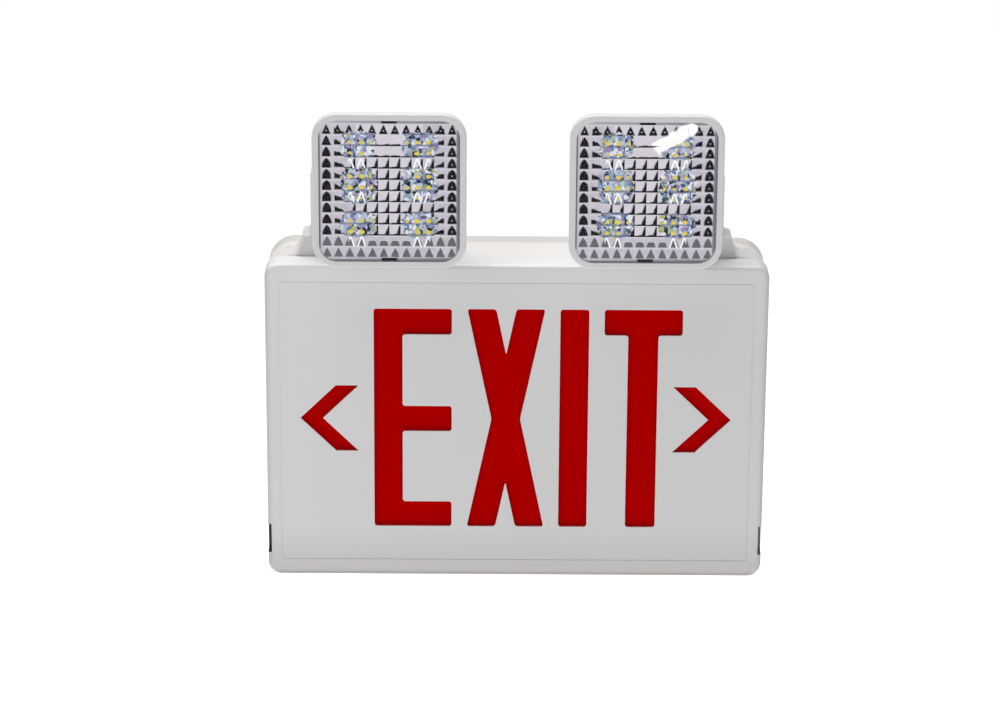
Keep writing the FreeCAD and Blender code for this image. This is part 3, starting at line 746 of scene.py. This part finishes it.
def prisms(side):
    lo, hi = span(side + "_lens")
    y, w, h = lo.y + SKIN + AIR, hi.x - lo.x, hi.z - lo.z
    centre = ((lo.x + hi.x) / 2, y, (lo.z + hi.z) / 2)
    deselect()
    bpy.ops.mesh.primitive_grid_add(x_subdivisions=PITS, y_subdivisions=PITS, size=1,
                                    location=centre, rotation=(-math.pi / 2, 0, 0))
    obj = bpy.context.object
    obj.name = side + "_lens_prisms"
    obj.scale = (w - 2 * BAND, h - 2 * BAND, 1)
    settle(obj)
    pick(obj, "FACE", lambda f: True)
    bpy.ops.mesh.poke(offset=PIT_DEEP)               # the grid faces the back, so the pits go in
    pick(obj, "EDGE", lambda e: e.is_boundary)
    bpy.ops.mesh.extrude_region_move()
    bpy.ops.transform.resize(value=(w / (w - 2 * BAND), 1, h / (h - 2 * BAND)),
                             center_override=centre)
    bpy.ops.mesh.extrude_region_move(TRANSFORM_OT_translate={"value": (0, BAND_DEEP, 0)})
    bpy.ops.mesh.edge_face_add()
    bpy.ops.mesh.select_all(action="SELECT")
    bpy.ops.mesh.normals_make_consistent(inside=False)
    done(obj)
    edge = cube("edge", (lo.x + PRISM_INSET, y - 2 * OVERCUT, lo.z + PRISM_INSET),
                (hi.x - PRISM_INSET, hi.y, hi.z - PRISM_INSET))
    return combine(obj, round_corners(edge, PRISM_CORNER, 8), "INTERSECT")


clear = Paint("clear_skin", Base_Color=(0.99, 0.99, 1.0), IOR=1.18, Transmission_Weight=1.0)
clear.rough(0.0, 0.01, 30.0)
for side in SIDES:
    skin, behind = lens_skin(side), prisms(side)
    dress(skin, clear)
    dress(behind, prism_paint(side))
    for obj in (skin, behind):
        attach(obj, side + "_head")
        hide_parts(side + "_lens")
    print(skin.name, len(skin.data.polygons), behind.name, len(behind.data.polygons))

# %% [markdown]
# The other mouldings keep their CAD shapes, which already have their corners and holes, and
# get the white plastic: the heads as white as the cover, the arms and the housing a little
# warmer, and the back plate, which faces the wall, a little darker as painted shade.

# %% White mouldings
finishes = {"back_plate": shaded_plate_white, "rear_housing": warm_white}
for side in SIDES:
    finishes[side + "_arm_front"] = finishes[side + "_arm_rear"] = warm_white
    finishes[side + "_head_shell"] = white
print("white mouldings:", sorted(finishes))

# %% [markdown]
# What is inside shows once the cover is off: zinc-plated screws with drawn marks, green
# boards with copper tracks under the mask, a laminated core, a blue battery sleeve with a
# seam over each cell, and red LEDs on a white strip. The CAD shapes are right as they are, so
# tracks, seams and sheets are paint with a little bump, not new meshes.

# %% Paints for metal, boards and cells
def steel():
    p = Paint("zinc_steel", Metallic=1.0)
    p.into("Base Color", p.blend(p.noise(180.0, 3.0), (0.50, 0.50, 0.49), (0.68, 0.68, 0.70)))
    p.rough(0.22, 0.22, 900.0, 3.0)
    p.bump(p.noise(2200.0), 0.08, 0.0001)
    return p


def circuit_board(name, mask, track):
    p = Paint(name, Specular_IOR_Level=0.5)
    lines = p.node("ShaderNodeTexVoronoi", {"feature": "DISTANCE_TO_EDGE",
                                            "distance": "EUCLIDEAN"},
                   {"Vector": p.place(), "Scale": 140.0, "Randomness": 0.35})
    ground = p.blend(p.noise(60.0), mask, tuple(c * 0.8 for c in mask))
    p.into("Base Color", p.blend(lines < 0.06, ground, track))
    p.rough(0.3, 0.2, 300.0)
    p.bump(lines, 0.15, 0.0001)
    return p


def bands(name, axis, pitch, width, base, band):
    """Even bands along one axis, as on a laminated core or a row of cells."""
    p = Paint(name)
    stripe = (p.axis(axis) / pitch).math("FRACT") < width
    ground = p.blend(p.noise(90.0), base, tuple(c * 0.85 for c in base))
    p.into("Base Color", p.blend(stripe, ground, band))
    p.rough(0.3, 0.2, 400.0)
    p.bump(stripe, 0.2, 0.0002)
    return p


def plain_paint(name, a, b, scale=120.0, rough=0.4, **plain):
    p = Paint(name, **plain)
    p.into("Base Color", p.blend(p.noise(scale), a, b))
    p.rough(rough - 0.07, 0.15, scale * 5)
    return p


zinc = steel()
print("metal:", zinc.mat.name)

# %% [markdown]
# One table says which piece gets which finish, so that no piece is left without one. The
# seams of the battery lie 37.3 mm apart, and the bands of the core 0.9 mm.

# %% Finish of each piece
finishes.update({
    "case_screws": zinc,
    "charger_board": circuit_board("green_board", (0.03, 0.16, 0.06), (0.07, 0.27, 0.11)),
    "sign_led_board": circuit_board("white_strip", (0.74, 0.74, 0.72), (0.62, 0.62, 0.60)),
    "sign_leds": plain_paint("red_packages", (0.60, 0.03, 0.02), (0.75, 0.10, 0.08), 400.0, 0.25),
    "transformer": bands("laminated_core", axis=1, pitch=0.0009, width=0.45,
                         base=(0.05, 0.05, 0.055), band=(0.13, 0.13, 0.14)),
    "terminal_block": plain_paint("terminal_green", (0.04, 0.20, 0.08), (0.05, 0.25, 0.10)),
    "battery_pack": bands("cell_sleeve", axis=0, pitch=0.0373, width=0.04,
                          base=(0.02, 0.08, 0.30), band=(0.05, 0.14, 0.42)),
    "test_button": plain_paint("grey_button", (0.42, 0.42, 0.43), (0.47, 0.47, 0.48), 200.0, 0.35),
    "charge_indicator": plain_paint("green_lens", (0.02, 0.35, 0.07), (0.04, 0.45, 0.10), 300.0,
                                    0.2, Emission_Color=(0.05, 0.9, 0.2), Emission_Strength=0.15),
})
for side in SIDES:
    for name in ("arm_screws", "pivot_screw", "tilt_pin", "friction_washer"):
        finishes[side + "_" + name] = zinc
for name, paint in finishes.items():
    dress(NODES[name], paint)
print("nodes without a finish:", [n for n, node in NODES.items() if not node.data.materials])
